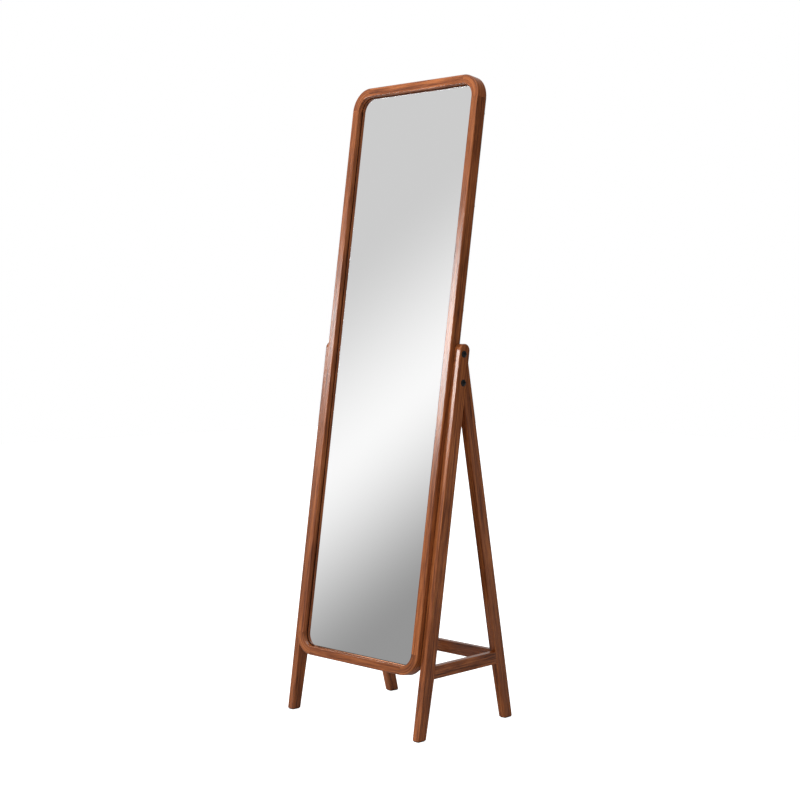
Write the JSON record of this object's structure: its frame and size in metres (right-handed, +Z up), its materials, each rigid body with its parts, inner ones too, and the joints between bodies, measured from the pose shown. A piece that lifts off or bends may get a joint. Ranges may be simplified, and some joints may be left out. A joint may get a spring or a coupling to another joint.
{
  "type": "cheval floor mirror",
  "caption": "Tall rounded-corner mirror in a slim wood frame that tilts between two A-shaped wooden side frames joined by low stretchers.",
  "frame": {"origin": "on the floor, in the middle of the footprint's bounding rectangle", "axes": "+Z up; -Y is the side the glass faces; +X to the right seen from the front; the tilt axis runs along X"},
  "size_m": [0.5156, 0.3727, 1.6494],
  "materials": {
    "stained_wood": "walnut-stained hardwood under semi-gloss lacquer",
    "bead_wood": "stained pine bead, thin lacquer",
    "dowel_wood": "bare beech",
    "mirror": "silvered float glass",
    "backing_board": "smooth brown hardboard",
    "zinc_steel": "zinc-plated steel",
    "black_cap": "black moulded plastic, satin",
    "nylon": "natural nylon",
    "glide": "dark plastic pad"
  },
  "bodies": {
    "stand": {"front_leg_left": "stained_wood", "front_leg_right": "stained_wood", "rear_leg_left": "stained_wood", "rear_leg_right": "stained_wood", "side_stretcher_left": "stained_wood", "side_stretcher_right": "stained_wood", "rear_stretcher": "stained_wood", "leg_sleeves": "nylon", "lap_bolts": "zinc_steel", "lap_nuts": "zinc_steel", "lap_caps": "black_cap", "stand_dowels": "dowel_wood", "foot_glides": "glide"},
    "mirror": {"stile_left": "stained_wood", "stile_right": "stained_wood", "rail_top": "stained_wood", "rail_bottom": "stained_wood", "corner_top_left": "stained_wood", "corner_top_right": "stained_wood", "corner_bottom_left": "stained_wood", "corner_bottom_right": "stained_wood", "frame_dowels": "dowel_wood", "mirror_glass": "mirror", "bead_left": "bead_wood", "bead_right": "bead_wood", "bead_top": "bead_wood", "bead_bottom": "bead_wood", "back_panel": "backing_board", "panel_screws": "zinc_steel", "pivot_plate_left": "zinc_steel", "pivot_plate_right": "zinc_steel", "plate_screws": "zinc_steel", "pivot_bolts": "zinc_steel", "pivot_caps": "black_cap", "pivot_washers": "nylon"}
  },
  "joints": [
    {"name": "mirror_tilt", "type": "hinge", "parent": "stand", "child": "mirror", "pos_m": [0, -0.0299, 0.9585], "axis": [1, 0, 0], "range_deg": [-30, 6]}
  ]
}
